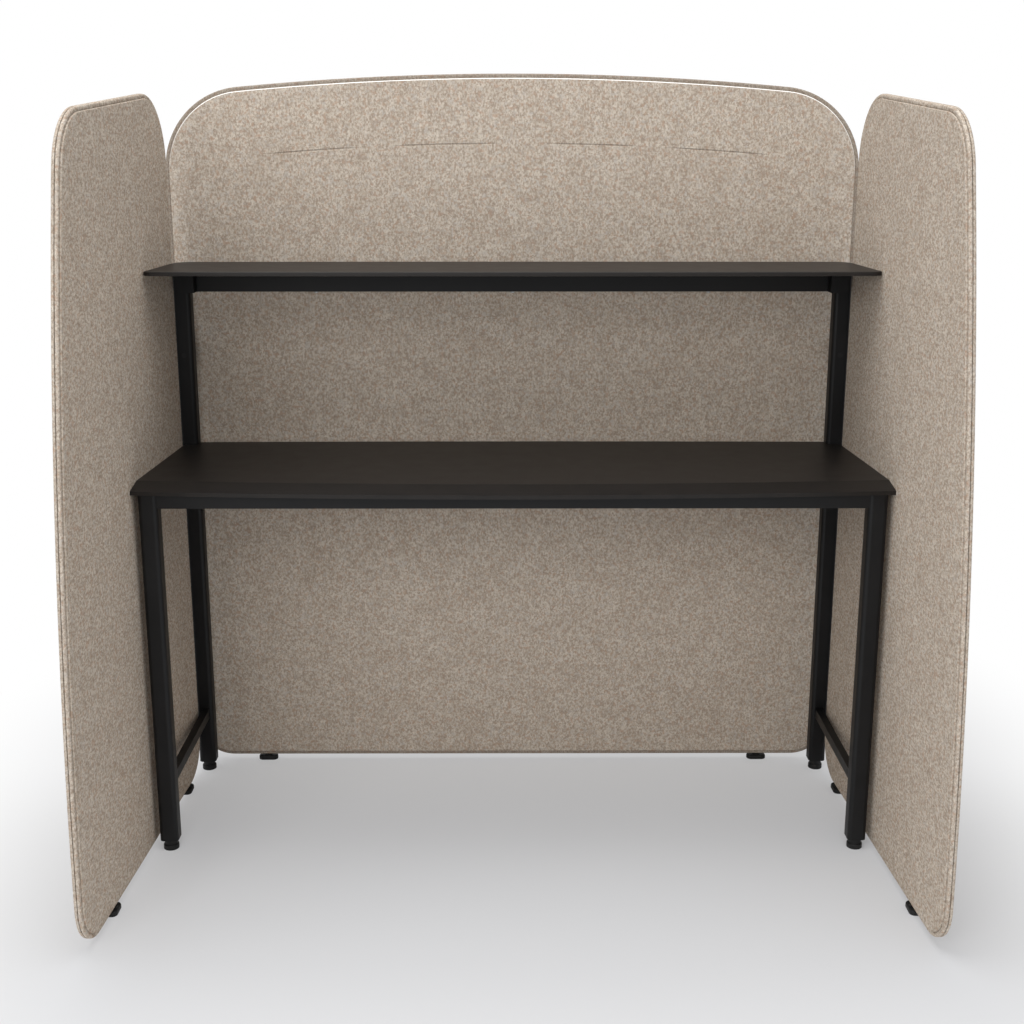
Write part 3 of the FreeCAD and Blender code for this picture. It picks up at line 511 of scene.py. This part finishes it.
# Felt screens
crown_drop = CROWN - math.sqrt(CROWN ** 2 - BACK_HALF ** 2)
shoulder = BACK_PEAK - crown_drop
back_corners = [(-BACK_HALF, LOW), (BACK_HALF, LOW), (BACK_HALF, shoulder), (-BACK_HALF, shoulder)]
back_radii = [LOWER_CORNER, LOWER_CORNER, BACK_UPPER_CORNER, BACK_UPPER_CORNER]
back_loop = rounded_loop(back_corners, back_radii, {2: CROWN}, BACK_POINTS)
front_gap = SIDE_FRONT - SIDE_REAR - FRONT_LEAN * LOW
front_top = (SIDE_TOP + TOP_SLOPE * front_gap) / (1 - TOP_SLOPE * FRONT_LEAN)
side_corners = [
    (SIDE_FRONT, LOW),
    (SIDE_REAR, LOW),
    (SIDE_REAR, SIDE_TOP),
    (SIDE_FRONT + FRONT_LEAN * (front_top - LOW), front_top),
]
side_radii = [LOWER_CORNER, LOWER_CORNER, SIDE_UPPER_CORNER, SIDE_UPPER_CORNER]
side_loop = rounded_loop(side_corners, side_radii, {3: FRONT_BOW}, SIDE_POINTS)
for face, sign in (("inner", -1), ("outer", 1)):
    back_felt = creased_felt if face == "inner" else felt
    # Only the back's inner cover gets the painted highlight
    back_highlight = 1.0 if face == "inner" else 0.0
    # Back covers: 0.6 is painted shade on the rim's ledge
    make_cover(f"back_{face}_cover", back_loop, 0.6, back_highlight, back_place(sign), back_felt)
    for side_name, side in (("left", -1), ("right", 1)):
        make_cover(f"{side_name}_{face}_cover", side_loop, 0.0, 0.0, side_place(side, sign), felt)


# Floor, lights and camera


def floor_paint():
    """Pale floor that keeps the booth's soft shadow and passes into white away from it.

    The fade follows the distance from a rectangle on the floor, a little to the right of the booth's. Camera
    rays see half diffuse floor and half a glow whose tone is a painted shadow, darkest under the desk's
    front.
    """
    paint = Paint("floor")
    place = paint.place()
    away = paint.shift(place, (-0.05, 0.0, 0.0))
    away = paint.add("ShaderNodeVectorMath", {"operation": "ABSOLUTE"}, {0: away})
    away = paint.add("ShaderNodeVectorMath", {"operation": "SUBTRACT"}, {0: away, 1: (0.66, 0.42, 0.0)})
    away = paint.add("ShaderNodeVectorMath", {"operation": "MAXIMUM"}, {0: away, 1: (0.0, 0.0, 0.0)})
    away = paint.stretch(away, (1.75, 1.0, 0.0))
    away = paint.add("ShaderNodeVectorMath", {"operation": "LENGTH"}, {0: away}, "Value")
    camera = paint.add("ShaderNodeLightPath", {}, {}, "Is Camera Ray")
    shadowed = paint.add("ShaderNodeBsdfDiffuse", {}, {"Color": tone(236, 237, 239)})
    depth = paint.add("ShaderNodeSeparateXYZ", {}, {0: place}, "Y")
    # Painted shadow: tone of the camera-only glow, darkest under the desk's front, lighter towards the back
    # and out in front
    shade = paint.mix(paint.ease(depth, 0.0, 0.42), tone(172, 172, 174), tone(206, 206, 207))
    shade = paint.mix(paint.ease(depth, -0.7, -0.2, 1.0, 0.0), shade, tone(192, 192, 194))
    pale = paint.add("ShaderNodeEmission", {}, {"Color": shade, "Strength": 1.0})
    white = paint.add("ShaderNodeEmission", {}, {"Color": (1.0, 1.0, 1.0, 1.0), "Strength": 1.0})
    # Half of what the camera sees is that glow, a painted shadow that evens out the booth's real shadow
    mixed = paint.add("ShaderNodeMixShader", {}, {0: camera * 0.5, 1: shadowed, 2: pale})
    fade = paint.ease(away, -0.08, 1.25) * camera
    mixed = paint.add("ShaderNodeMixShader", {}, {0: fade, 1: mixed, 2: white})
    paint.tree.links.new(mixed.socket, paint.out.inputs["Surface"])
    return paint.material


def area_light(name, place, aim, width, height, power):
    """A soft rectangular lamp that faces the point it is aimed at."""
    data = bpy.data.lights.new(name, "AREA")
    data.shape = "RECTANGLE"
    data.size = width
    data.size_y = height
    data.energy = power
    lamp = bpy.data.objects.new(name, data)
    back = unit(np.array(place) - np.array(aim))
    lamp.rotation_euler = (math.acos(back[2]), 0.0, math.atan2(back[0], -back[1]))
    lamp.location = place
    bpy.context.scene.collection.objects.link(lamp)
    return lamp


floor_points = [(-9.0, -7.0, 0.0), (9.0, -7.0, 0.0), (9.0, 11.0, 0.0), (-9.0, 11.0, 0.0)]
floor = make_piece("floor", floor_points, [(0, 1, 2, 3)], floor_paint())

# The camera sees a white sky; everything else is lit by a dimmer one
SKY_LIGHT = 0.64
world = bpy.data.worlds.new("studio")
bpy.context.scene.world = world
world.use_nodes = True
world.node_tree.nodes.clear()
sky = world.node_tree.nodes.new("ShaderNodeBackground")
path = world.node_tree.nodes.new("ShaderNodeLightPath")
level = world.node_tree.nodes.new("ShaderNodeMapRange")
sky.inputs["Color"].default_value = (1.0, 1.0, 1.0, 1.0)
level.inputs[3].default_value = SKY_LIGHT
level.inputs[4].default_value = 1.0
out = world.node_tree.nodes.new("ShaderNodeOutputWorld")
world.node_tree.links.new(path.outputs["Is Camera Ray"], level.inputs[0])
world.node_tree.links.new(level.outputs[0], sky.inputs["Strength"])
world.node_tree.links.new(sky.outputs[0], out.inputs["Surface"])

area_light("overhead", (-0.3, -0.4, 3.6), (0.0, 0.1, 0.0), 3.2, 2.6, 76.0)
area_light("front", (-1.5, -4.0, 2.35), (0.0, 0.2, 0.7), 2.6, 2.2, 67.0)

lens = bpy.data.cameras.new("camera")
lens.lens = 50.1
lens.sensor_width = 36.0
camera = bpy.data.objects.new("camera", lens)
camera.location = (-0.0108, -2.5741, 1.3439)
camera.rotation_euler = (math.radians(90.0 - 14.44), 0.0, math.radians(-0.19))
bpy.context.scene.collection.objects.link(camera)
bpy.context.scene.camera = camera
bpy.context.scene.view_settings.view_transform = "Standard"
